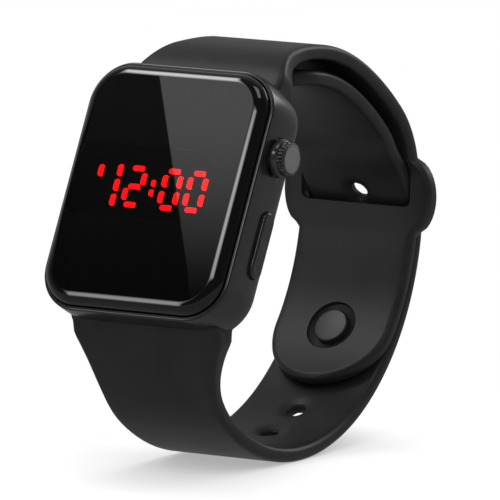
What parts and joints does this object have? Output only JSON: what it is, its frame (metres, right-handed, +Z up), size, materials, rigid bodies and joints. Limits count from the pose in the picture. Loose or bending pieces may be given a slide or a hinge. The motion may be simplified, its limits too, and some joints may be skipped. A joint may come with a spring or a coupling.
{
  "type": "digital watch",
  "caption": "Square-cased digital watch with domed black glass, red segment display, push crown, side button and a silicone strap whose tail tucks through a slot, closed into a loop.",
  "frame": {"origin": "centre of the case back's outer face, where it meets the wrist", "axes": "+X from the middle of the case to the crown, along the spring bars; +Z up with the watch standing on its closed strap; +Y away from the dial side, through the loop; the dial faces -Y and leans back by 26.4 degrees"},
  "size_m": [0.0377, 0.072, 0.0668],
  "materials": {
    "case_paint": "satin dark grey",
    "glass_black": "polished, smoke black",
    "gasket_rubber": "matte black",
    "mask_film": "matte black film",
    "reflector_plastic": "matte black",
    "segment_lit": "glowing red diffuser",
    "segment_dark": "unlit smoked diffuser",
    "led_chip": "glossy white",
    "board_laminate": "satin green",
    "chip_epoxy": "matte black",
    "crystal_can": "brushed",
    "switch_body": "satin black",
    "frame_plastic": "natural white",
    "screw_steel": "plain steel",
    "cell_steel": "bright nickel",
    "contact_brass": "sprung brass strip",
    "insulator_film": "clear amber film",
    "back_steel": "brushed",
    "crown_metal": "satin dark grey",
    "tube_steel": "turned",
    "spring_steel": "bright wire",
    "washer_plastic": "slippery white",
    "button_metal": "satin dark grey",
    "strap_silicone": "matte black silicone",
    "stud_metal": "satin dark grey"
  },
  "bodies": {
    "watch": {"mid_case": "case_paint", "lens": "glass_black", "lens_gasket": "gasket_rubber", "display_mask": "mask_film", "display_reflector": "reflector_plastic", "lit_segments": "segment_lit", "unlit_segments": "segment_dark", "led_chips": "led_chip", "circuit_board": "board_laminate", "controller_chip": "chip_epoxy", "quartz_crystal": "crystal_can", "crown_switch": "switch_body", "button_switch": "switch_body", "module_frame": "frame_plastic", "module_screws": "screw_steel", "coin_cell": "cell_steel", "battery_contact_positive": "contact_brass", "battery_contact_negative": "contact_brass", "insulator_sheet": "insulator_film", "case_back": "back_steel", "back_gasket": "gasket_rubber", "case_back_screws": "screw_steel", "crown_tube": "tube_steel", "crown_gasket": "gasket_rubber", "crown_spring": "spring_steel", "button_gasket": "gasket_rubber", "button_spring": "spring_steel", "bar_tube_upper": "tube_steel", "bar_tube_lower": "tube_steel", "bar_spring_upper": "spring_steel", "bar_spring_lower": "spring_steel", "strap_upper": "strap_silicone", "strap_lower": "strap_silicone", "closure_stud": "stud_metal"},
    "crown_carrier": {"crown_washer": "washer_plastic"},
    "crown": {"crown_knob": "crown_metal", "crown_stem": "tube_steel", "crown_clip": "spring_steel"},
    "side_button": {"side_button": "button_metal", "button_clip": "spring_steel"},
    "bar_pin_upper_left": {"bar_tip_upper_left": "tube_steel"},
    "bar_pin_upper_right": {"bar_tip_upper_right": "tube_steel"},
    "bar_pin_lower_left": {"bar_tip_lower_left": "tube_steel"},
    "bar_pin_lower_right": {"bar_tip_lower_right": "tube_steel"}
  },
  "joints": [
    {"name": "crown_push", "type": "slide", "parent": "watch", "child": "crown_carrier", "axis": [-1, 0, 0], "range_m": [0, 0.0006], "stiffness_N_per_m": 1500, "springref_m": -0.0004, "deforming": ["crown_spring"]},
    {"name": "crown_turn", "type": "hinge", "parent": "crown_carrier", "child": "crown", "pos_m": [0.019, -0.00065, 0.0097], "axis": [1, 0, 0], "continuous": true},
    {"name": "button_push", "type": "slide", "parent": "watch", "child": "side_button", "axis": [-1, 0, 0], "range_m": [0, 0.0005], "stiffness_N_per_m": 1200, "springref_m": -0.0005, "deforming": ["button_spring"]},
    {"name": "pin_upper_left", "type": "slide", "parent": "watch", "child": "bar_pin_upper_left", "axis": [1, 0, 0], "range_m": [0, 0.001], "stiffness_N_per_m": 800, "springref_m": -0.0015, "deforming": ["bar_spring_upper"]},
    {"name": "pin_upper_right", "type": "slide", "parent": "watch", "child": "bar_pin_upper_right", "axis": [-1, 0, 0], "range_m": [0, 0.001], "stiffness_N_per_m": 800, "springref_m": -0.0015, "deforming": ["bar_spring_upper"]},
    {"name": "pin_lower_left", "type": "slide", "parent": "watch", "child": "bar_pin_lower_left", "axis": [1, 0, 0], "range_m": [0, 0.001], "stiffness_N_per_m": 800, "springref_m": -0.0015, "deforming": ["bar_spring_lower"]},
    {"name": "pin_lower_right", "type": "slide", "parent": "watch", "child": "bar_pin_lower_right", "axis": [-1, 0, 0], "range_m": [0, 0.001], "stiffness_N_per_m": 800, "springref_m": -0.0015, "deforming": ["bar_spring_lower"]}
  ]
}
